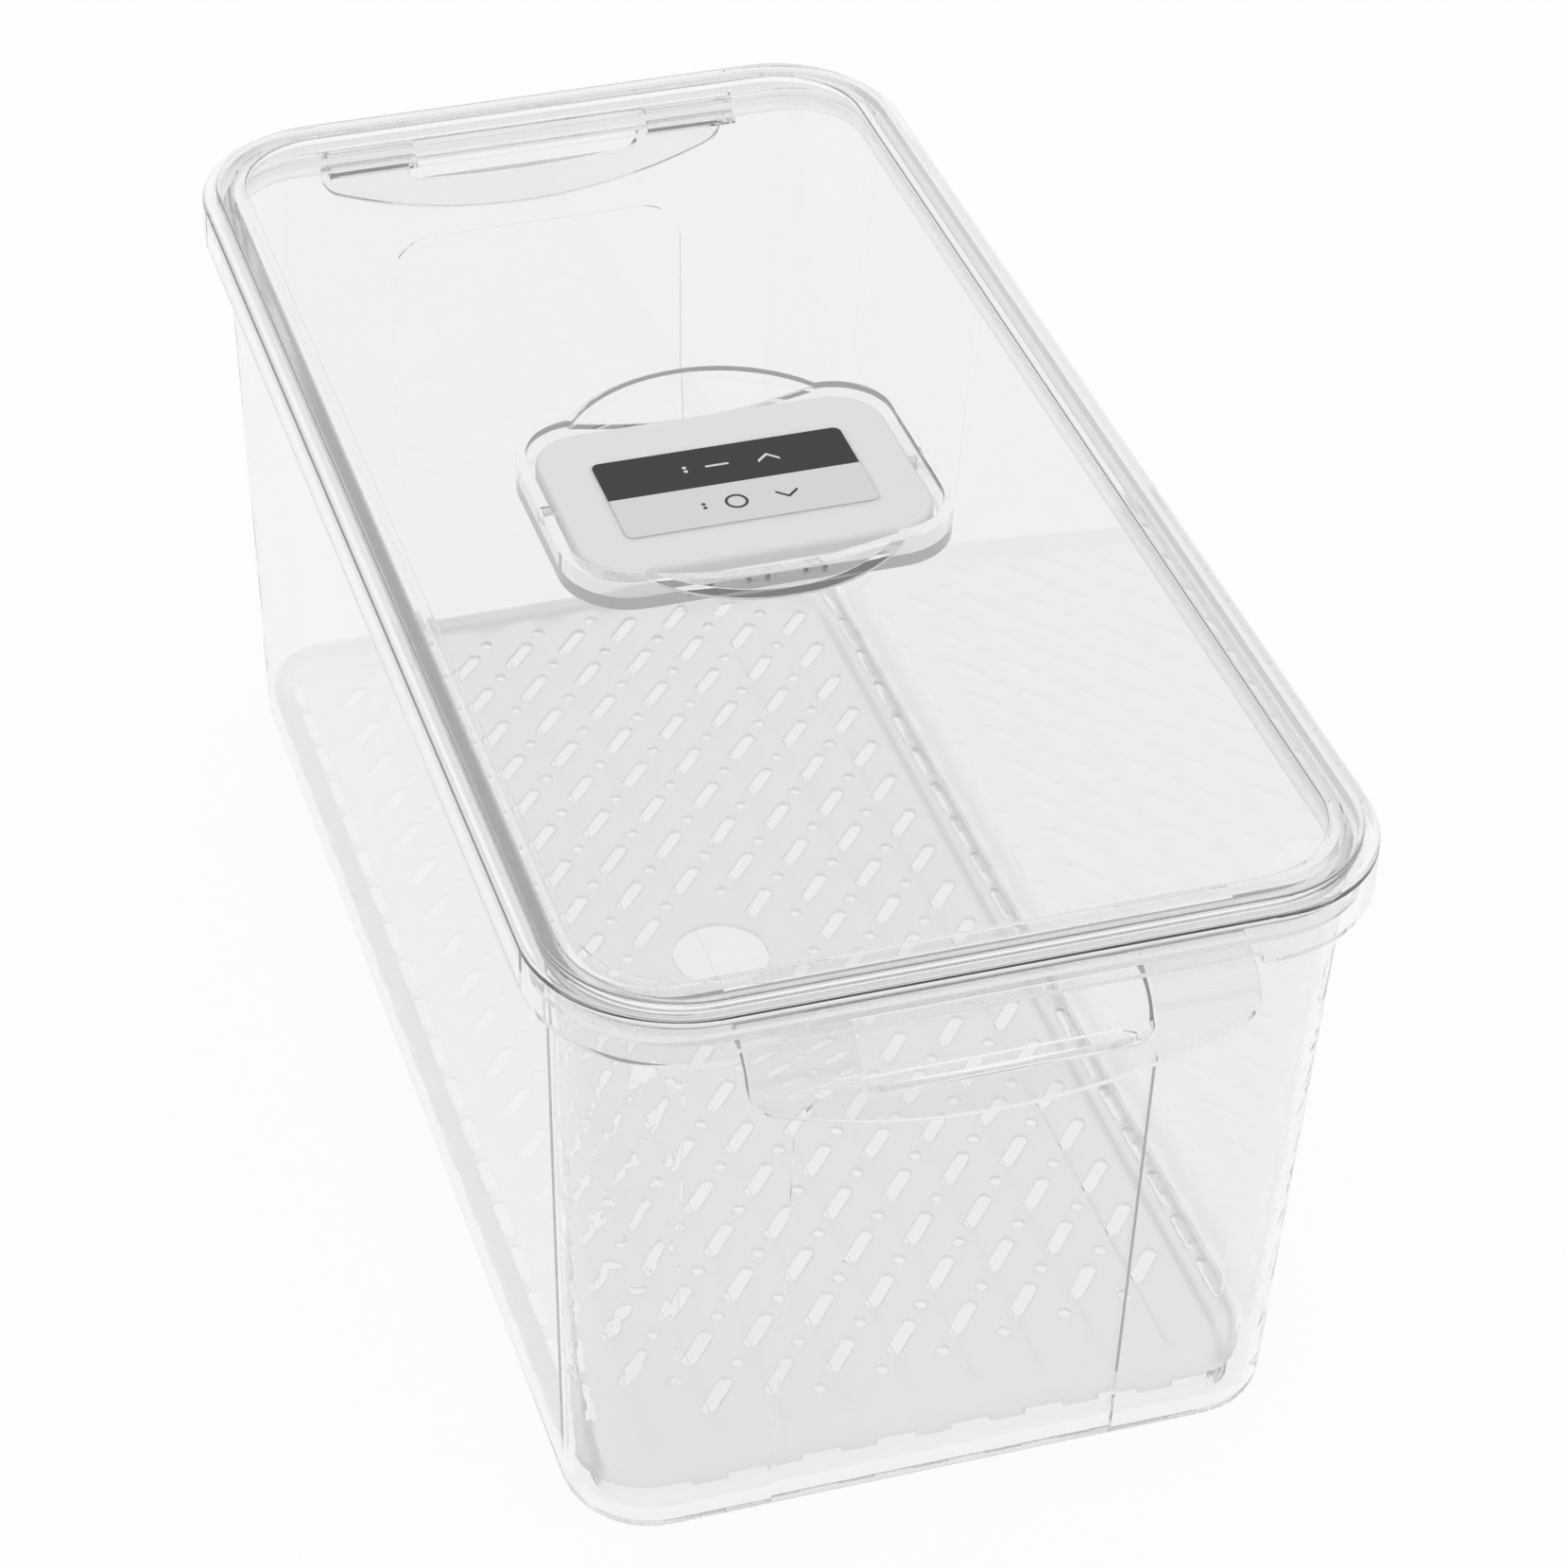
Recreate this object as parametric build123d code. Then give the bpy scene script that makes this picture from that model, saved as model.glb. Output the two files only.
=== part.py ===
"""Stackable fridge container: a clear tapered bin with two lip handles, a clear lid with a
rocking vent in a sunk well, and a slotted drain tray that stands on the floor of the bin.

X is the width, Y the length and Z up. The origin is on the table under the middle of the bin.
All sizes are in millimetres.
"""
from build123d import *
import math
import os

# Overall sizes
lid_width = 160.0
lid_length = 316.0
total_height = 140.0
lid_rise = 6.0
lid_corner = 28.5

# Lid, from its outer edge inward
skirt_height = 12.0
skirt_wall = 2.0
shoulder_drop = 1.8
band_inset = 3.0
panel_inset = 9.6
panel_drop = 2.0
lid_wall = 2.1
notch_width = 97.0
notch_height = 2.0
edge_round = 1.2
small_round = 0.5
mouth_round = 0.4
edge_slack = 0.05

# Seal between the lid and the rim of the bin
seal_inset = 4.0
seal_width = 2.2
seal_side_gap = 0.2
seal_roof = 2.3
seal_squeeze_gap = 0.1

# Bin
base_width = 141.0
base_length = 284.4
base_corner = 17.0
top_width = 151.2
top_length = 300.0
top_corner = 20.0
bin_wall = 2.2
foot_height = 3.3
floor_thickness = 2.2
foot_round = 2.5
foot_ring = 5.5
foot_slope = 35.0
flange_gap = 0.6
flange_thickness = 2.5

# Sunk panels in the end walls of the bin
end_panel_width = 68.6
end_panel_height = 110.0
end_panel_corner = 10.0
end_panel_depth = 1.2

# Ribs on the floor of the bin
floor_rib_width = 0.9
floor_rib_height = 0.6
floor_rib_length = 250.0

# Lip handles
handle_width = 95.0
handle_out = 11.5
handle_top_gap = 0.4
handle_wall = 2.2
handle_bend = 9.0
handle_drop_middle = 21.3
handle_drop_end = 11.0
handle_corner = 7.0
finger_slot_width = 54.0
finger_slot_drop = 11.8
finger_slot_corner = 3.5
finger_slot_back_gap = 1.4

# Locating rib under the lid
rib_gap = 0.4
rib_wall = 1.6
rib_depth = 4.9

# Well for the vent rocker, and the finger scoops before and behind it
well_width = 77.0
well_length = 54.0
well_corner = 12.0
well_depth = 7.0
well_wall = 2.0
scoop_radius = 33.0
scoop_offset = 6.5
scoop_rim = 0.9
scoop_depth = 5.0
scoop_foot_radius = 17.0
scoop_wall = 1.8

# Vent holes in the floor of the well
vent_hole_radius = 2.5
vent_hole_spacing = 12.0
vent_hole_count = 3
vent_hole_y = -9.5

# Vent rocker
rocker_side_gap = 1.7
rocker_end_gap = 2.2
rocker_corner = 10.5
rocker_top_drop = 1.5
rocker_wall = 1.8
rocker_height = 3.4
rocker_round = 1.3
pin_radius = 1.5
pin_gap = 0.06
pin_reach = 1.1
pin_end_gap = 0.3
pin_height = 2.6

# Pad that closes the vent holes
pad_length = 40.0
pad_width = 11.0
pad_corner = 3.0
pad_thickness = 1.2
pad_gap = 0.2
pad_post_radius = 2.5
pad_post_spacing = 22.0

# Two colour label on the rocker
label_width = 52.5
label_length = 26.6
label_corner = 1.6
label_thickness = 0.2
label_y = -1.0

# Drain tray
tray_side_gap = 0.7
tray_end_gap = 3.7
tray_corner = 14.0
tray_top = 12.7
tray_plate = 1.0
tray_edge_round = 4.0
tray_skirt_bottom = 7.0
tray_skirt_wall = 1.4
tray_seat_gap = 0.1
tray_hole_radius = 10.4
foot_width = 7.0
foot_pitch = 15.0
slot_length = 10.6
slot_width = 3.0
slot_angle = 48.0
slot_column_pitch = 13.1
slot_columns = 9
slot_row_pitch = 13.0
slot_rows = 21
slot_stagger = 1.6
slot_margin = 9.0
dot_radius = 1.4
dot_columns = slot_columns - 1
edge_slot_inset = 4.0
edge_slot_width = 2.6

# Heights and half sizes that follow from the sizes above
bin_height = total_height - lid_rise
skirt_bottom = total_height - skirt_height
shoulder_top = total_height - shoulder_drop
panel_top = total_height - panel_drop
panel_bottom = panel_top - lid_wall
floor_top = foot_height + floor_thickness
seal_top = total_height - seal_roof - 0.1
well_floor_top = panel_top - well_depth
well_bottom = well_floor_top - well_wall
rocker_top = panel_top - rocker_top_drop
rocker_bottom = rocker_top - rocker_height
pin_z = well_floor_top + pin_height
rocker_width = well_width - 2 * rocker_side_gap
rocker_length = well_length - 2 * rocker_end_gap
handle_top = skirt_bottom + notch_height - handle_top_gap
handle_reach = top_length / 2 + handle_out
handle_root = top_length / 2 - bin_wall / 2


def slab(width, length, corner, low, high):
    """Plate with rounded corners between two heights."""
    return Pos(0, 0, low) * extrude(RectangleRounded(width, length, corner), high - low)


def inset_slab(inset, low, high):
    """Plate whose outline is the lid's outline moved inward."""
    return slab(lid_width - 2 * inset, lid_length - 2 * inset, lid_corner - inset, low, high)


def tub_size(height, inset):
    """Width, length and corner radius of the tapered wall at a height."""
    share = height / bin_height
    width = base_width + (top_width - base_width) * share - 2 * inset
    length = base_length + (top_length - base_length) * share - 2 * inset
    corner = base_corner + (top_corner - base_corner) * share - inset
    return width, length, corner


def taper(inset, low, high):
    """Solid with the taper of the bin's wall between two heights."""
    bottom = Pos(0, 0, low) * RectangleRounded(*tub_size(low, inset))
    top = Pos(0, 0, high) * RectangleRounded(*tub_size(high, inset))
    return loft([bottom, top])


def end_panel():
    """Block that sinks a flat panel into the front wall of the bin, parallel to its slope."""
    rise = bin_height
    lean = (top_length - base_length) / 2
    wall = Plane(origin=(0, -base_length / 2, 0), x_dir=(1, 0, 0), z_dir=(0, -rise, -lean))
    outline = RectangleRounded(end_panel_width, 2 * end_panel_height, end_panel_corner)
    return wall * Pos(0, 0, -end_panel_depth) * extrude(outline, 2 * end_panel_depth)


def both_ends(solid):
    """The solid at the front and its mirror image at the back."""
    return [solid, mirror(solid, about=Plane.XZ)]


def handle_profile():
    """Side view of a lip handle: out from the wall, round the bend and down."""
    wall_y = handle_root
    inner = handle_reach - handle_wall
    low = handle_top - handle_drop_middle - 2
    bend = handle_bend
    bend_in = handle_bend - handle_wall
    turn = math.sqrt(0.5)
    outer_mid = (handle_reach - bend + bend * turn, handle_top - bend + bend * turn)
    inner_mid = (handle_reach - bend + bend_in * turn, handle_top - bend + bend_in * turn)
    outline = [
        Line((wall_y, handle_top), (handle_reach - bend, handle_top)),
        ThreePointArc((handle_reach - bend, handle_top), outer_mid, (handle_reach, handle_top - bend)),
        Line((handle_reach, handle_top - bend), (handle_reach, low)),
        Line((handle_reach, low), (inner, low)),
        Line((inner, low), (inner, handle_top - bend)),
        ThreePointArc((inner, handle_top - bend), inner_mid,
                      (handle_reach - bend, handle_top - handle_wall)),
        Line((handle_reach - bend, handle_top - handle_wall), (wall_y, handle_top - handle_wall)),
        Line((wall_y, handle_top - handle_wall), (wall_y, handle_top)),
    ]
    side = Plane(origin=(-handle_width / 2, 0, 0), x_dir=(0, -1, 0), z_dir=(-1, 0, 0))
    return extrude(side * make_face(outline), -handle_width)


def handle():
    """Lip handle of the front wall, with its lower edge as an arc and a slot for the fingers."""
    half = handle_width / 2
    front = Plane(origin=(0, -handle_reach - 5, 0), x_dir=(1, 0, 0), z_dir=(0, -1, 0))
    top = handle_top + 1
    end_low = handle_top - handle_drop_end
    middle_low = handle_top - handle_drop_middle
    outline = make_face([
        Line((-half, top), (half, top)),
        Line((half, top), (half, end_low)),
        ThreePointArc((half, end_low), (0, middle_low), (-half, end_low)),
        Line((-half, end_low), (-half, top)),
    ])
    outline = fillet(outline.vertices().sort_by(Axis.Y)[:2], handle_corner)
    shape = handle_profile() & (front * extrude(outline, -handle_reach))
    slot_low = handle_top - finger_slot_drop
    slot_tall = 2 * finger_slot_drop
    slot = RectangleRounded(finger_slot_width, slot_tall, finger_slot_corner)
    reach = handle_reach - top_length / 2 - finger_slot_back_gap + 5
    cutter = front * Pos(0, slot_low + slot_tall / 2, -reach) * extrude(slot, reach)
    shape -= cutter
    outside = handle_reach - handle_wall + edge_slack
    rim = [edge for edge in shape.edges() if -edge.center().Y > outside]
    return fillet(rim, small_round)


def make_tub():
    """Clear bin with its foot ring, rim flange, sunk end panels, floor ribs and handles."""
    outer = taper(0, 0, bin_height)
    outer = fillet(outer.faces().sort_by(Axis.Z)[0].edges(), foot_round)
    flange_inset = skirt_wall + flange_gap
    outer += inset_slab(flange_inset, bin_height - flange_thickness, bin_height)
    for cutter in both_ends(end_panel()):
        outer -= cutter
    tub = outer - taper(bin_wall, floor_top, bin_height)
    ring = foot_ring
    inside = RectangleRounded(base_width - 2 * ring, base_length - 2 * ring, base_corner - ring)
    tub -= extrude(inside, foot_height, taper=foot_slope)
    for column in range(slot_columns):
        x = (column - (slot_columns - 1) / 2) * slot_column_pitch
        rib = Box(floor_rib_width, floor_rib_length, floor_rib_height + floor_thickness / 2)
        tub += Pos(x, 0, floor_top + floor_rib_height / 2 - floor_thickness / 4) * rib
    for lip in both_ends(handle()):
        tub += lip
    return tub


def scoop(grow, low, high):
    """Dished round with a short upright rim, at the front and the back of the well."""
    rim_low = panel_top - scoop_rim
    slope_low = panel_top - scoop_depth
    rim = Pos(0, 0, rim_low + low) * extrude(Circle(scoop_radius + grow), scoop_rim + high - low)
    wide = Pos(0, 0, rim_low + low) * Circle(scoop_radius + grow)
    narrow = Pos(0, 0, slope_low + low) * Circle(scoop_foot_radius + grow)
    dish = rim + loft([narrow, wide])
    return (Pos(0, -scoop_offset, 0) * dish) + (Pos(0, scoop_offset, 0) * dish)


def edges_at(solid, height):
    """Edges of a solid that lie flat at a height."""
    return solid.edges().filter_by_position(Axis.Z, height - edge_slack, height + edge_slack)


def make_lid():
    """Clear lid: skirt, raised band, flat panel, seal groove, locating rib, well and scoops."""
    lid = inset_slab(0, skirt_bottom, shoulder_top)
    lid = fillet(lid.faces().sort_by(Axis.Z)[-1].edges(), edge_round)
    lid += inset_slab(band_inset, shoulder_top - 1, total_height)
    lid -= inset_slab(panel_inset, panel_top, total_height)
    lid = fillet(edges_at(lid, total_height), small_round)
    lid -= inset_slab(skirt_wall, skirt_bottom, panel_bottom)
    groove_out = seal_inset - seal_side_gap
    groove_in = seal_inset + seal_width + seal_side_gap
    groove_top = total_height - seal_roof
    lid -= inset_slab(groove_out, panel_bottom, groove_top) - inset_slab(groove_in, panel_bottom,
                                                                         groove_top)
    rib_low = panel_bottom - rib_depth
    outer_rib = tub_size(bin_height, bin_wall + rib_gap)
    inner_rib = tub_size(bin_height, bin_wall + rib_gap + rib_wall)
    lid += slab(*outer_rib, rib_low, panel_bottom) - slab(*inner_rib, rib_low, panel_bottom)
    notch = Pos(0, -lid_length / 2, skirt_bottom) * Box(notch_width, 2 * lid_corner, 2 * notch_height)
    for cutter in both_ends(notch - inset_slab(skirt_wall, skirt_bottom - 3, panel_bottom)):
        lid -= cutter
    outer = slab(well_width + 2 * well_wall, well_length + 2 * well_wall, well_corner + well_wall,
                 well_bottom, panel_bottom)
    lid += outer
    lid += scoop(scoop_wall, -scoop_wall, -1)
    lid -= scoop(0, 0, 1)
    lid -= slab(well_width, well_length, well_corner, well_floor_top, total_height)
    for index in range(vent_hole_count):
        x = (index - (vent_hole_count - 1) / 2) * vent_hole_spacing
        hole = Cylinder(vent_hole_radius, 3 * well_wall)
        lid -= Pos(x, vent_hole_y, well_floor_top) * hole
    lid -= pivot_pins(pin_radius + pin_gap, pin_end_gap)
    reach = scoop_radius + scoop_offset + 1
    mouth = [edge for edge in edges_at(lid, panel_top) if abs(edge.center().Y) < reach]
    mouth = [edge for edge in mouth if abs(edge.center().X) < reach]
    return fillet(mouth, mouth_round)


def pivot_pins(radius, extra):
    """Two short pins on the rocking axis, one into each side wall of the well."""
    start = rocker_width / 2 - rocker_wall
    end = well_width / 2 + pin_reach + extra
    pin = Pos(start, 0, pin_z) * Rot(0, 90, 0) * extrude(Circle(radius), end - start)
    return pin + mirror(pin, about=Plane.YZ)


def make_seal():
    """Silicone ring in the groove of the lid, just over the flange of the bin."""
    low = bin_height + seal_squeeze_gap
    return inset_slab(seal_inset, low, seal_top) - inset_slab(seal_inset + seal_width, low, seal_top)


def make_rocker():
    """White rocking cover over the vent, hollow below, with its pivot pins and pad posts."""
    outer = slab(rocker_width, rocker_length, rocker_corner, rocker_bottom, rocker_top)
    outer = fillet(outer.faces().sort_by(Axis.Z)[-1].edges(), rocker_round)
    wall = rocker_wall
    hollow = slab(rocker_width - 2 * wall, rocker_length - 2 * wall, rocker_corner - wall,
                  rocker_bottom, rocker_top - wall)
    rocker = outer - hollow
    rocker += pivot_pins(pin_radius, 0)
    boss_size = 2 * pin_radius + 1.6
    for side in (-1, 1):
        boss = Box(wall, boss_size, rocker_top - wall / 2 - pin_z + boss_size / 2)
        height = (rocker_top - wall / 2 + pin_z - boss_size / 2) / 2
        rocker += Pos(side * (rocker_width / 2 - wall / 2), 0, height) * boss
    post_low = well_floor_top + pad_gap + pad_thickness
    for side in (-1, 1):
        post = extrude(Circle(pad_post_radius), rocker_top - wall / 2 - post_low)
        rocker += Pos(side * pad_post_spacing / 2, vent_hole_y, post_low) * post
    return rocker


def make_pad():
    """Soft pad under the front half of the rocker, over the vent holes."""
    low = well_floor_top + pad_gap
    return Pos(0, vent_hole_y, 0) * slab(pad_length, pad_width, pad_corner, low, low + pad_thickness)


def make_label():
    """Thin printed film on the rocker."""
    film = slab(label_width, label_length, label_corner, rocker_top, rocker_top + label_thickness)
    return Pos(0, label_y, 0) * film


def tray_outline():
    """Width, length and corner radius of the drain tray."""
    width = tub_size(floor_top, bin_wall)[0] - 2 * tray_side_gap
    length = tub_size(floor_top, bin_wall)[1] - 2 * tray_end_gap
    return width, length, tray_corner


def tray_openings(width, length):
    """Slanted drain slots in staggered rows, small holes between them and slots along the sides."""
    shapes = []
    clear = tray_hole_radius + slot_length / 2 + 1.5
    limit = length / 2 - slot_margin
    slot = SlotOverall(slot_length, slot_width, rotation=slot_angle)
    for column in range(slot_columns):
        step = column - (slot_columns - 1) / 2
        for row in range(slot_rows):
            x = step * slot_column_pitch
            y = (row - (slot_rows - 1) / 2) * slot_row_pitch + step * slot_stagger
            if abs(y) < limit - slot_length / 2 and math.hypot(x, y) > clear:
                shapes.append(Pos(x, y) * slot)
    for column in range(dot_columns):
        step = column - (dot_columns - 1) / 2
        for row in range(slot_rows - 1):
            x = step * slot_column_pitch
            y = (row - (slot_rows - 2) / 2) * slot_row_pitch + step * slot_stagger
            if abs(y) < limit - dot_radius and math.hypot(x, y) > clear:
                shapes.append(Pos(x, y) * Circle(dot_radius))
    edge_x = width / 2 - edge_slot_inset
    edge_slot = SlotOverall(slot_length, edge_slot_width, rotation=90)
    for row in range(slot_rows - 2):
        y = (row - (slot_rows - 3) / 2) * slot_row_pitch
        if abs(y) < length / 2 - tray_corner:
            shapes.append(Pos(edge_x, y) * edge_slot)
            shapes.append(Pos(-edge_x, y) * edge_slot)
    shapes.append(Circle(tray_hole_radius))
    return shapes


def tray_feet(width, length):
    """Short feet along all four edges of the tray, down to the floor of the bin."""
    low = floor_top + tray_seat_gap
    tall = tray_skirt_bottom - low + tray_seat_gap
    foot_x = Box(foot_width, tray_skirt_wall, tall)
    foot_y = Box(tray_skirt_wall, foot_width, tall)
    middle = low + tall / 2
    feet = []
    across = int((width - 2 * tray_corner) / foot_pitch)
    for index in range(across):
        x = (index - (across - 1) / 2) * foot_pitch
        for side in (-1, 1):
            feet.append(Pos(x, side * (length / 2 - tray_skirt_wall / 2), middle) * foot_x)
    along = int((length - 2 * tray_corner) / foot_pitch)
    for index in range(along):
        y = (index - (along - 1) / 2) * foot_pitch
        for side in (-1, 1):
            feet.append(Pos(side * (width / 2 - tray_skirt_wall / 2), y, middle) * foot_y)
    return feet


def make_tray():
    """Drain tray: slotted plate with a skirt, feet and a round finger hole in the middle."""
    width, length, corner = tray_outline()
    plate_low = tray_top - tray_plate
    wall = tray_skirt_wall
    tray = slab(width, length, corner, tray_skirt_bottom, tray_top)
    tray = fillet(edges_at(tray, tray_top), tray_edge_round)
    hollow = slab(width - 2 * wall, length - 2 * wall, corner - wall, tray_skirt_bottom, plate_low)
    tray -= fillet(edges_at(hollow, plate_low), tray_edge_round - wall)
    openings = Sketch() + tray_openings(width, length)
    tray -= Pos(0, 0, plate_low - tray_edge_round) * extrude(openings, 2 * tray_edge_round)
    for foot in tray_feet(width, length):
        tray += foot
    return tray


pieces = {
    "tub": make_tub,
    "lid": make_lid,
    "lid_seal": make_seal,
    "vent_rocker": make_rocker,
    "vent_pad": make_pad,
    "rocker_label": make_label,
    "drain_tray": make_tray,
}

os.makedirs("parts", exist_ok=True)
for node, make in pieces.items():
    solid = make()
    export_step(solid, f"parts/{node}.step")
    box = solid.bounding_box()
    print(node, round(solid.volume), box.min, box.max)
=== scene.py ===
# %% [markdown]
# # A clear fridge bin, dressed in Blender
#
# The object is a stackable fridge container: a clear bin with a lip handle at each end, a clear
# lid with a white rocking vent in its middle, and a frosted drain tray on the floor of the bin.
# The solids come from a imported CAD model, already at their real size and in their real places,
# so they could be modelled again here or used as they are. They are used as they are, because
# moulded plastic is what a CAD solid shows best. This script gives them their finish, adds the
# printed marks, and sets up the floor, the light and the camera.

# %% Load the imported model
import math

import bpy
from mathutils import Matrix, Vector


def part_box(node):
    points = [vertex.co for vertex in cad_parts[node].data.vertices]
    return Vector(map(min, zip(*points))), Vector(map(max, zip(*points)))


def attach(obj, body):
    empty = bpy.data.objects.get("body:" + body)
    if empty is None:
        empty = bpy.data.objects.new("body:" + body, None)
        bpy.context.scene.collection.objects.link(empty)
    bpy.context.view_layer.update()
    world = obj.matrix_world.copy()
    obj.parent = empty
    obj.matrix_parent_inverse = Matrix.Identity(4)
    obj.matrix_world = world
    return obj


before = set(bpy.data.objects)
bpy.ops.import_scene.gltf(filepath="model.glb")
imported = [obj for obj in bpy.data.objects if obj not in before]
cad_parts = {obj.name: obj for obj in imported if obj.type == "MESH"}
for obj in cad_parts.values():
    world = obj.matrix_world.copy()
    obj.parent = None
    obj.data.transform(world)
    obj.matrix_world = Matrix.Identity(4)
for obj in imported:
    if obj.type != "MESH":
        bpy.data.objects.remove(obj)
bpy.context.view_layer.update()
print("nodes:", sorted(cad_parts))

# %% [markdown]
# ## Camera
#
# The photograph was taken from above, a little to the left of the handle's side, with a long
# lens. Its frame is a crop of a wider picture, so the lens axis isn't in the middle of it. The
# camera could be turned towards the object instead, but then the upright edges would lean
# otherwise than in the photograph. A shift of the frame keeps the angle and moves only the crop.

# %% Camera at the photograph's angle
CAMERA_PLACE = (-0.24885, -0.75185, 0.67622)
CAMERA_TURN = 0.2720
CAMERA_TILT = 0.5683
SENSOR_WIDTH = 36.0
LENS = 109.8
SHIFT_X = 0.1525
SHIFT_Y = -0.2869
NEAR_CLIP = 0.01

bpy.ops.object.select_all(action="DESELECT")
bpy.ops.object.camera_add(
    location=CAMERA_PLACE,
    rotation=(math.pi / 2 - CAMERA_TILT, 0, -CAMERA_TURN),
)
camera = bpy.context.object
camera.name = "photo_camera"
camera.data.sensor_width = SENSOR_WIDTH
camera.data.lens = LENS
camera.data.shift_x = SHIFT_X
camera.data.shift_y = SHIFT_Y
camera.data.clip_start = NEAR_CLIP
bpy.context.scene.camera = camera
print("lens", LENS, "mm, shift", SHIFT_X, SHIFT_Y)

# %% [markdown]
# ## Helpers for materials
#
# Every finish here starts from the Principled shader, which covers plastic, silicone and ink.
# The nodes could be wired anew for each finish, but three short functions keep them alike: one
# starts a material, one makes noise that sits still on the object, and one turns noise to bump.


# %% Start a material
def new_material(name):
    """A material with a Principled shader: the material, its nodes, its links and the shader."""
    material = bpy.data.materials.new(name)
    material.use_nodes = True
    nodes = material.node_tree.nodes
    return material, nodes, material.node_tree.links, nodes["Principled BSDF"]


def object_noise(nodes, links, scale, detail=3.0):
    """Noise that sits still in the object's own space. The scale is in bumps per metre."""
    place = nodes.new("ShaderNodeTexCoord")
    noise = nodes.new("ShaderNodeTexNoise")
    noise.inputs["Scale"].default_value = scale
    noise.inputs["Detail"].default_value = detail
    links.new(place.outputs["Object"], noise.inputs["Vector"])
    return noise


def add_bump(nodes, links, shader, height, strength, distance):
    """Bump on the shader from a height socket. The distance is in metres."""
    bump = nodes.new("ShaderNodeBump")
    bump.inputs["Strength"].default_value = strength
    bump.inputs["Distance"].default_value = distance
    links.new(height, bump.inputs["Height"])
    links.new(bump.outputs["Normal"], shader.inputs["Normal"])


print("helpers ready: new_material, object_noise, add_bump")

# %% [markdown]
# ## Clear moulded plastic
#
# The bin and the lid are clear polished styrene. It bends light as glass does, thick places and
# edges look grey, and a moulded sheet is never quite flat. Alpha would be the quick way, but it
# bends nothing, and the dark lines along the edges would be missing. So the light is
# transmitted, a pale grey takes a little of it at each crossing, and a slow bump stands for the
# waves of the sheet.
#
# Two short cuts keep the inside bright without more lamps. Light that only falls on other
# pieces passes straight through, as if the plastic cast no caustics. Light that has been
# reflected more than three times inside a wall leaves it straight too, a little greyed. It could
# be followed to its end, but a real wall has small flaws that let it out early, and so the edges
# stay grey lines and don't turn black.

# %% Clear plastic
CLEAR_COLOUR = (0.941, 0.942, 0.943, 1.0)
PLASTIC_INDEX = 1.46
POLISHED = 0.02
LONG_PATH = 3.5
LONG_PATH_COLOUR = (0.72, 0.72, 0.72, 1.0)
WAVES_PER_METRE = 22.0
WAVE_STRENGTH = 0.15
WAVE_HEIGHT = 0.0002


def straight_through(nodes, links, colour):
    """Shader for light that isn't bent, and a socket that is 1 for such light."""
    path = nodes.new("ShaderNodeLightPath")
    either = nodes.new("ShaderNodeMath")
    either.operation = "MAXIMUM"
    links.new(path.outputs["Is Shadow Ray"], either.inputs[0])
    links.new(path.outputs["Is Diffuse Ray"], either.inputs[1])
    long = nodes.new("ShaderNodeMath")
    long.operation = "GREATER_THAN"
    long.inputs[1].default_value = LONG_PATH
    links.new(path.outputs["Glossy Depth"], long.inputs[0])
    passes = nodes.new("ShaderNodeMath")
    passes.operation = "MAXIMUM"
    links.new(either.outputs["Value"], passes.inputs[0])
    links.new(long.outputs["Value"], passes.inputs[1])
    tint = nodes.new("ShaderNodeMix")
    tint.data_type = "RGBA"
    tint.inputs["A"].default_value = colour
    tint.inputs["B"].default_value = LONG_PATH_COLOUR
    links.new(long.outputs["Value"], tint.inputs["Factor"])
    clear = nodes.new("ShaderNodeBsdfTransparent")
    links.new(tint.outputs["Result"], clear.inputs["Color"])
    return clear.outputs["BSDF"], passes.outputs["Value"]


def clear_plastic(name, colour, roughness, index):
    """Clear plastic with the faint waves of a moulding. The index says how far it bends light."""
    material, nodes, links, shader = new_material(name)
    shader.inputs["Base Color"].default_value = colour
    shader.inputs["Roughness"].default_value = roughness
    shader.inputs["IOR"].default_value = index
    shader.inputs["Transmission Weight"].default_value = 1.0
    waves = object_noise(nodes, links, WAVES_PER_METRE, 1.0)
    add_bump(nodes, links, shader, waves.outputs["Fac"], WAVE_STRENGTH, WAVE_HEIGHT)
    unbent, passes = straight_through(nodes, links, colour)
    mix = nodes.new("ShaderNodeMixShader")
    links.new(passes, mix.inputs["Fac"])
    links.new(shader.outputs["BSDF"], mix.inputs[1])
    links.new(unbent, mix.inputs[2])
    links.new(mix.outputs["Shader"], nodes["Material Output"].inputs["Surface"])
    print(name, "lets", round(colour[0] ** 4, 2), "of the light through two walls")
    return material


clear_bin = clear_plastic("clear_bin", CLEAR_COLOUR, POLISHED, PLASTIC_INDEX)
clear_lid = clear_plastic("clear_lid", CLEAR_COLOUR, POLISHED, PLASTIC_INDEX)

# %% [markdown]
# ## Frosted plastic
#
# The drain tray is milky polypropylene: light comes through it, but nothing behind it is sharp.
# Subsurface scattering could give the milk, but the plate is only a millimetre thick and its
# slots are small, so rough transmission does the same with less noise. The index is set low,
# because the edges of the slots in the real tray are soft and have no dark outline.

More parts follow.
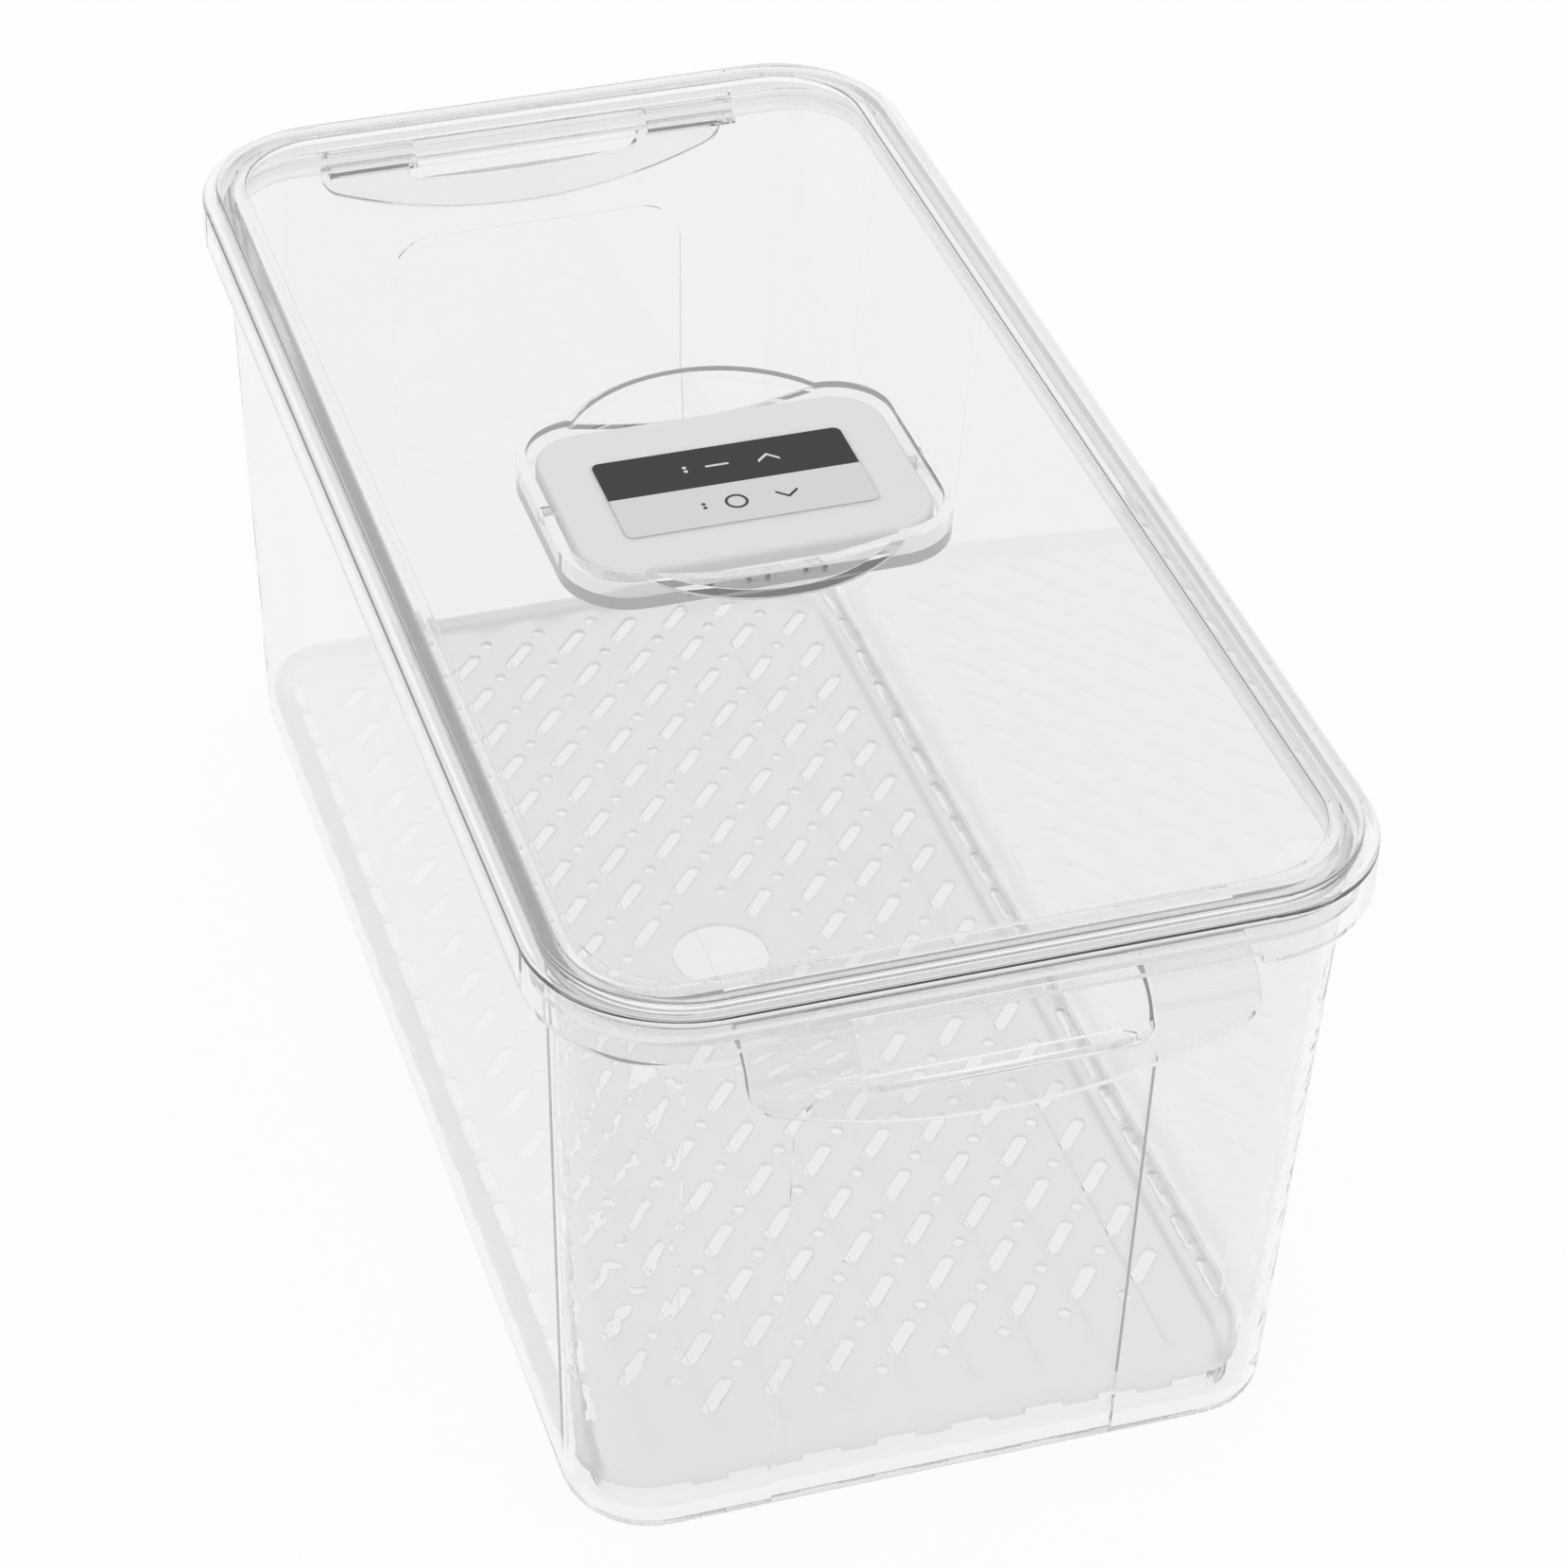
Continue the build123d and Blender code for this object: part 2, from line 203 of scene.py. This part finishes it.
# %% Frosted plastic of the drain tray
FROST_COLOUR = (0.972, 0.973, 0.973, 1.0)
FROST_ROUGHNESS = 0.4
FROST_INDEX = 1.12
FROST_TRANSMISSION = 0.92
FROST_GRAINS_PER_METRE = 1800.0
FROST_GRAIN_STRENGTH = 0.2
FROST_GRAIN_HEIGHT = 0.0001
frosted, nodes, links, shader = new_material("frosted_plastic")
shader.inputs["Base Color"].default_value = FROST_COLOUR
shader.inputs["Roughness"].default_value = FROST_ROUGHNESS
shader.inputs["IOR"].default_value = FROST_INDEX
shader.inputs["Transmission Weight"].default_value = FROST_TRANSMISSION
grain = object_noise(nodes, links, FROST_GRAINS_PER_METRE)
add_bump(
    nodes, links, shader, grain.outputs["Fac"], FROST_GRAIN_STRENGTH, FROST_GRAIN_HEIGHT
)
print("frosted plastic, roughness", FROST_ROUGHNESS)

# %% [markdown]
# ## White plastic
#
# The rocker is white, satin and a little milky: daylight that falls on its top also reaches the
# pocket under it. Plain diffuse white would leave that pocket black, so the light scatters below
# the surface, over a few millimetres. A fine grain takes the mirror edge off the highlights.

# %% White plastic of the rocker
WHITE = (0.72, 0.72, 0.72, 1.0)
SATIN = 0.38
SCATTER_DEPTH = 0.004
SATIN_GRAINS_PER_METRE = 2500.0
SATIN_GRAIN_STRENGTH = 0.12
SATIN_GRAIN_HEIGHT = 0.00005
white, nodes, links, shader = new_material("white_plastic")
shader.inputs["Base Color"].default_value = WHITE
shader.inputs["Roughness"].default_value = SATIN
shader.inputs["Subsurface Weight"].default_value = 1.0
shader.inputs["Subsurface Radius"].default_value = (1.0, 1.0, 1.0)
shader.inputs["Subsurface Scale"].default_value = SCATTER_DEPTH
grain = object_noise(nodes, links, SATIN_GRAINS_PER_METRE)
add_bump(
    nodes, links, shader, grain.outputs["Fac"], SATIN_GRAIN_STRENGTH, SATIN_GRAIN_HEIGHT
)
print("white plastic, light scatters over", SCATTER_DEPTH * 1000, "mm")

# %% [markdown]
# ## Silicone
#
# The seal in the lid and the pad under the rocker are soft clear silicone. It is cloudier than
# the styrene round it, and its skin is dull. It could be a plain grey, but then the seal would
# be a dark stripe all round the lid. Rough transmission keeps it to a soft line, with a low
# index, because a seal that is pressed against a wall hardly shows its own edges.

# %% Silicone of the seal and the pad
SILICONE_COLOUR = (0.95, 0.952, 0.952, 1.0)
SILICONE_ROUGHNESS = 0.2
SILICONE_INDEX = 1.20
silicone = clear_plastic("silicone", SILICONE_COLOUR, SILICONE_ROUGHNESS, SILICONE_INDEX)

# %% [markdown]
# ## Label film
#
# A thin film lies on the rocker: dark behind the rocking axis, and as light as the rocker in
# front of it. Two films or two materials would do, but one film with a straight change of tone
# is what is printed. The change sits at the middle of the film, read from the frame, and is
# made from the object's own Y, so that it moves with the rocker.

# %% Label film: dark half behind, light half in front
LABEL_DARK = (0.045, 0.045, 0.045, 1.0)
LABEL_LIGHT = (0.69, 0.69, 0.69, 1.0)
PRINTED_ROUGHNESS = 0.6
FILM_SHINE = 0.2
label_low, label_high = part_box("rocker_label")
label_middle = (label_low[1] + label_high[1]) / 2
label, nodes, links, shader = new_material("label_film")
shader.inputs["Roughness"].default_value = PRINTED_ROUGHNESS
shader.inputs["Specular IOR Level"].default_value = FILM_SHINE
place = nodes.new("ShaderNodeTexCoord")
split = nodes.new("ShaderNodeSeparateXYZ")
side = nodes.new("ShaderNodeMath")
side.operation = "GREATER_THAN"
side.inputs[1].default_value = label_middle
tone = nodes.new("ShaderNodeMix")
tone.data_type = "RGBA"
tone.inputs["A"].default_value = LABEL_LIGHT
tone.inputs["B"].default_value = LABEL_DARK
links.new(place.outputs["Object"], split.inputs["Vector"])
links.new(split.outputs["Y"], side.inputs[0])
links.new(side.outputs["Value"], tone.inputs["Factor"])
links.new(tone.outputs["Result"], shader.inputs["Base Color"])
print("the film changes tone at y =", round(label_middle * 1000, 2), "mm")

# %% [markdown]
# ## Dressing the solids
#
# Each CAD node keeps its shape and its own smooth normals, and only its material changes. The
# solids could be copied and smoothed again, but their normals are exact as they come, which
# clear plastic shows more than any other finish.


# %% Dress the CAD solids
def dress(node, material):
    """Gives a CAD node its finish. Its shape and its own smooth normals stay as they are."""
    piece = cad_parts[node]
    for slot in piece.material_slots:
        slot.material = material
    print(node, "wears", material.name, "on", len(piece.data.polygons), "faces")


dress("tub", clear_bin)
dress("lid", clear_lid)
dress("lid_seal", silicone)
dress("vent_rocker", white)
dress("vent_pad", silicone)
dress("rocker_label", label)
dress("drain_tray", frosted)

# %% [markdown]
# ## Ink of the printed marks
#
# The marks on the film are printed: light ink on the dark half and dark ink on the light half.
# A mark could be painted by the film's material, but a thin raised piece stays sharp at any
# distance and can be modelled by hand. The marks are plain ones of this lesson's own: a bar and
# a ring for open and closed, an arrowhead that shows where to press, and a dot.

# %% Ink and sizes of the marks
PRINT_HEIGHT = 0.00004
STROKE = 0.0006
MARK_X = -0.0017
ARROW_X = 0.0090
DOT_X = -0.0084
TEETH_PER_METRE = 4000.0
TOOTH_STRENGTH = 0.1
TOOTH_HEIGHT = 0.00002
label_top = label_high[2]
quarter = (label_high[1] - label_low[1]) / 4
dark_half_y = label_middle + quarter
light_half_y = label_middle - quarter


def ink(name, colour):
    """Dull printing ink with a fine tooth."""
    material, nodes, links, shader = new_material(name)
    shader.inputs["Base Color"].default_value = colour
    shader.inputs["Roughness"].default_value = PRINTED_ROUGHNESS
    tooth = object_noise(nodes, links, TEETH_PER_METRE)
    add_bump(nodes, links, shader, tooth.outputs["Fac"], TOOTH_STRENGTH, TOOTH_HEIGHT)
    return material


light_ink = ink("light_ink", LABEL_LIGHT)
dark_ink = ink("dark_ink", LABEL_DARK)
print("marks at y =", round(dark_half_y * 1000, 2), "and", round(light_half_y * 1000, 2), "mm")

# %% [markdown]
# ## Finishing a mark
#
# Every mark starts as a flat face on the film. It could be extruded in edit mode, but a Solidify
# modifier gives any flat shape the same height and closes its edge. After that the place is
# applied, so that the object sits at the origin like the CAD nodes, and it rides on the rocker.


# %% Helpers for a printed mark
def flat_start():
    """Deselects everything, so that the next primitive is the only thing worked on."""
    bpy.ops.object.select_all(action="DESELECT")


def finish_mark(name, material):
    """Gives the flat shape in edit mode its height, its ink and its body."""
    bpy.ops.object.mode_set(mode="OBJECT")
    piece = bpy.context.object
    piece.name = name
    height = piece.modifiers.new("height", "SOLIDIFY")
    height.thickness = PRINT_HEIGHT
    height.offset = 1.0
    bpy.ops.object.modifier_apply(modifier=height.name)
    bpy.ops.object.transform_apply(location=True, rotation=True, scale=True)
    piece.data.materials.append(material)
    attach(piece, "rocker")
    print(name, len(piece.data.polygons), "faces")


print("a mark stands", PRINT_HEIGHT * 1000, "mm proud of the film")

# %% [markdown]
# ## Bar and ring
#
# The bar says open and the ring says closed, as on many switches. The bar is a plane whose
# corners are bevelled round. The ring is a disc whose face is inset, and whose middle is then
# deleted. A curve with a bevel would make both too, but would need to be turned to a mesh.

# %% Bar on the dark half
BAR_LENGTH = 0.0050
BAR_ROUNDING = STROKE * 0.48
flat_start()
bpy.ops.mesh.primitive_plane_add(size=1.0, location=(MARK_X, dark_half_y, label_top))
bpy.ops.object.mode_set(mode="EDIT")
bpy.ops.mesh.select_all(action="SELECT")
bpy.ops.transform.resize(value=(BAR_LENGTH, STROKE, 1.0))
bpy.ops.mesh.bevel(offset=BAR_ROUNDING, segments=5, affect="VERTICES")
finish_mark("mark_open", light_ink)

# %% [markdown]
# The ring's disc has 48 sides, which is round enough for a mark of five millimetres.

# %% Ring on the light half
RING_RADIUS = 0.0024
RING_SIDES = 48
flat_start()
bpy.ops.mesh.primitive_circle_add(
    vertices=RING_SIDES,
    radius=RING_RADIUS,
    fill_type="NGON",
    location=(MARK_X, light_half_y, label_top),
)
bpy.ops.object.mode_set(mode="EDIT")
bpy.ops.mesh.select_all(action="SELECT")
bpy.ops.mesh.inset(thickness=STROKE)
bpy.ops.mesh.delete(type="FACE")
bpy.ops.mesh.select_all(action="SELECT")
finish_mark("mark_closed", dark_ink)

# %% [markdown]
# ## Arrowheads
#
# An arrowhead on each half shows which end of the rocker to press. It starts as a flat strip
# that is cut across its middle by subdivide, and the middle is then pulled out to a point. The
# points look away from the rocking axis, one backwards and one forwards.

# %% Arrowheads
ARROW_WIDTH = 0.0046
ARROW_POINT = 0.0020
ARROW_STROKE = STROKE * 1.3


def arrowhead(name, y, direction, material):
    """A bent strip whose point looks along Y, forwards or backwards."""
    flat_start()
    start_y = y - direction * ARROW_POINT / 2
    bpy.ops.mesh.primitive_plane_add(size=1.0, location=(ARROW_X, start_y, label_top))
    bpy.ops.object.mode_set(mode="EDIT")
    bpy.ops.mesh.select_all(action="SELECT")
    bpy.ops.transform.resize(value=(ARROW_WIDTH, ARROW_STROKE, 1.0))
    bpy.ops.mesh.subdivide(number_cuts=1)
    bpy.ops.mesh.select_all(action="DESELECT")
    bpy.ops.object.mode_set(mode="OBJECT")
    for vertex in bpy.context.object.data.vertices:
        vertex.select = abs(vertex.co.x) < STROKE / 10
    bpy.ops.object.mode_set(mode="EDIT")
    bpy.ops.transform.translate(value=(0, direction * ARROW_POINT, 0))
    finish_mark(name, material)


arrowhead("mark_press_back", dark_half_y, 1, light_ink)
arrowhead("mark_press_front", light_half_y, -1, dark_ink)

# %% [markdown]
# ## Dots
#
# The smallest marks are two pairs of dots, one pair on each half. They could be copies of one
# dot, but a short function models each as a disc with an inset rim, so that it has its own mesh.

# %% Dots
DOT_RADIUS = 0.00045
DOT_STEP = 0.0013
DOT_SIDES = 20
DOT_RIM = DOT_RADIUS * 0.3


def dot(name, y, material):
    """A small printed disc with its rim drawn in, so that its edge is clean."""
    flat_start()
    bpy.ops.mesh.primitive_circle_add(
        vertices=DOT_SIDES,
        radius=DOT_RADIUS,
        fill_type="NGON",
        location=(DOT_X, y, label_top),
    )
    bpy.ops.object.mode_set(mode="EDIT")
    bpy.ops.mesh.select_all(action="SELECT")
    bpy.ops.mesh.inset(thickness=DOT_RIM)
    bpy.ops.mesh.select_all(action="SELECT")
    finish_mark(name, material)


for step in (-0.5, 0.5):
    side_name = "back" if step > 0 else "front"
    dot(f"mark_dot_open_{side_name}", dark_half_y + step * DOT_STEP, light_ink)
    dot(f"mark_dot_closed_{side_name}", light_half_y + step * DOT_STEP, dark_ink)

# %% [markdown]
# ## Floor
#
# The photograph is a cut-out on white. The floor is a pale plane that the camera sees as nearly
# white, and so do rays that reach it through plastic or by a reflection. To all other light it
# is an ordinary matt floor, so it keeps a faint shadow and lights the object plainly from below.

# %% Floor
FLOOR_SIZE = 6.0
FLOOR_DROP = 0.0002
FLOOR_COLOUR = (0.93, 0.93, 0.93, 1.0)
FLOOR_ROUGHNESS = 0.9
FLOOR_WHITE_SHARE = 0.9
bpy.ops.object.select_all(action="DESELECT")
bpy.ops.mesh.primitive_plane_add(size=FLOOR_SIZE, location=(0, 0, -FLOOR_DROP))
floor = bpy.context.object
floor.name = "floor"
floor_paint, nodes, links, shader = new_material("floor_paint")
shader.inputs["Base Color"].default_value = FLOOR_COLOUR
shader.inputs["Roughness"].default_value = FLOOR_ROUGHNESS
path = nodes.new("ShaderNodeLightPath")
seen = nodes.new("ShaderNodeMath")
seen.operation = "MAXIMUM"
seen_through = nodes.new("ShaderNodeMath")
seen_through.operation = "MAXIMUM"
part = nodes.new("ShaderNodeMath")
part.operation = "MULTIPLY"
part.inputs[1].default_value = FLOOR_WHITE_SHARE
white_light = nodes.new("ShaderNodeEmission")
mix = nodes.new("ShaderNodeMixShader")
links.new(path.outputs["Is Camera Ray"], seen.inputs[0])
links.new(path.outputs["Is Glossy Ray"], seen.inputs[1])
links.new(seen.outputs["Value"], seen_through.inputs[0])
links.new(path.outputs["Is Transmission Ray"], seen_through.inputs[1])
links.new(seen_through.outputs["Value"], part.inputs[0])
links.new(part.outputs["Value"], mix.inputs["Fac"])
links.new(shader.outputs["BSDF"], mix.inputs[1])
links.new(white_light.outputs["Emission"], mix.inputs[2])
links.new(mix.outputs["Shader"], nodes["Material Output"].inputs["Surface"])
floor.data.materials.append(floor_paint)
print("floor", FLOOR_SIZE, "m wide")

# %% [markdown]
# ## Light
#
# Clear plastic shows what is round it more than it shows itself. Lamps would put bright spots
# and black gaps in every wall, so the object stands in a surround like a light tent, at a
# strength of one. It is white above and grey towards the horizon. An even white one would do for
# the walls, but the edges of clear plastic mirror the horizon, and the grey there draws them.
#
# The bounce limits are raised, the one for reflections too, because a look through the lid, the
# tray and the floor of the bin crosses eight surfaces, and light runs on inside each wall.

# %% Surround: white above, grey at the horizon
BOUNCES = 32
SKIRT_GREY = 0.35
FULL_WHITE_FROM = 0.45
world = bpy.data.worlds.new("studio")
bpy.context.scene.world = world
world.use_nodes = True
nodes = world.node_tree.nodes
links = world.node_tree.links
direction = nodes.new("ShaderNodeTexCoord")
split = nodes.new("ShaderNodeSeparateXYZ")
height = nodes.new("ShaderNodeMapRange")
height.inputs["From Min"].default_value = 0.0
height.inputs["From Max"].default_value = FULL_WHITE_FROM
height.inputs["To Min"].default_value = SKIRT_GREY
height.inputs["To Max"].default_value = 1.0
links.new(direction.outputs["Generated"], split.inputs["Vector"])
links.new(split.outputs["Z"], height.inputs["Value"])
links.new(height.outputs["Result"], nodes["Background"].inputs["Color"])
nodes["Background"].inputs["Strength"].default_value = 1.0
bpy.context.scene.view_settings.view_transform = "Standard"
bpy.context.scene.cycles.max_bounces = BOUNCES
bpy.context.scene.cycles.glossy_bounces = BOUNCES
bpy.context.scene.cycles.transmission_bounces = BOUNCES
bpy.context.scene.cycles.transparent_max_bounces = BOUNCES
print("surround white above and grey below, up to", BOUNCES, "bounces")
